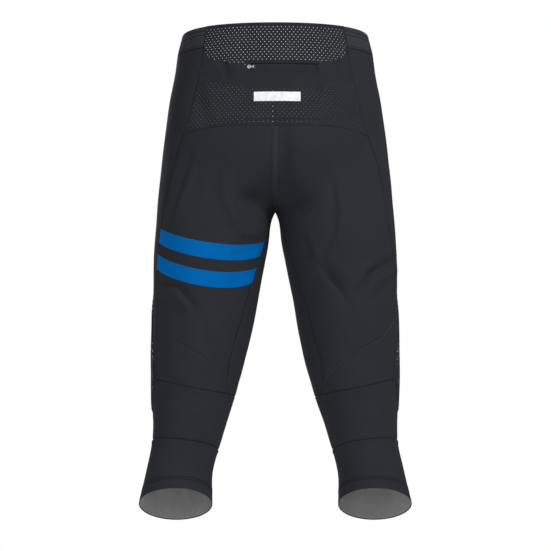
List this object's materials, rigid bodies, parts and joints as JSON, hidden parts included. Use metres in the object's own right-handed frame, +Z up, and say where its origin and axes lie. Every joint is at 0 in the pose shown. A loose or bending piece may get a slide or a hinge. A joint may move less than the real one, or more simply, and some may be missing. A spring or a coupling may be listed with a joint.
{
  "type": "sports trousers",
  "caption": "Slim three-quarter length training trousers in the shape they take when worn, with a mesh yoke, a zip pocket at the back and elastic waist.",
  "frame": {"origin": "centre of the waist opening, level with the waist edge at the back", "axes": "+Z up, the front faces -Y and the back faces +Y, +X is the wearer's left"},
  "size_m": [0.421, 0.2398, 0.7565],
  "materials": {
    "knit_fabric": "matt stretch knit",
    "mesh_fabric": "perforated knit",
    "elastic_webbing": "woven elastic",
    "pale_seam_tape": "satin tape",
    "blue_film": "satin heat-transfer film",
    "reflective_film": "fine glass-bead film",
    "zip_tape": "coated zip tape",
    "zip_coil": "nylon coil",
    "zip_metal": "plated, satin"
  },
  "bodies": {
    "garment": {"waistband": "knit_fabric", "waistband_facing": "knit_fabric", "waist_elastic": "elastic_webbing", "back_yoke": "mesh_fabric", "back_waist_facing": "mesh_fabric", "back_leg_left": "knit_fabric", "back_leg_right": "knit_fabric", "front_leg_left": "knit_fabric", "front_leg_right": "knit_fabric", "side_panel_left": "knit_fabric", "side_panel_right": "knit_fabric", "back_knee_left": "knit_fabric", "back_knee_right": "knit_fabric", "side_mesh_left": "mesh_fabric", "side_mesh_right": "mesh_fabric", "calf_left": "knit_fabric", "calf_right": "knit_fabric", "cuff_left": "knit_fabric", "cuff_right": "knit_fabric", "front_seam_tape": "pale_seam_tape", "stripe_upper": "blue_film", "stripe_lower": "blue_film", "reflective_strip": "reflective_film", "zip_tape_upper": "zip_tape", "zip_tape_lower": "zip_tape", "zip_coil_upper": "zip_coil", "zip_coil_lower": "zip_coil", "zip_stop_left": "zip_metal", "zip_stop_right": "zip_metal", "pocket_bag_front": "mesh_fabric", "pocket_bag_back": "mesh_fabric"},
    "slider": {"zip_slider": "zip_metal"},
    "puller": {"zip_puller": "zip_metal"}
  },
  "joints": [
    {"name": "zip_run", "type": "hinge", "parent": "garment", "child": "slider", "pos_m": [0, -0.15032, -0.10794], "axis": [0, -0.137, 0.9906], "range_deg": [0, 20.5]},
    {"name": "puller_swing", "type": "hinge", "parent": "slider", "child": "puller", "pos_m": [0.03403, 0.11117, -0.07177], "axis": [0, -0.137, 0.9906], "range_deg": [0, 165]}
  ]
}
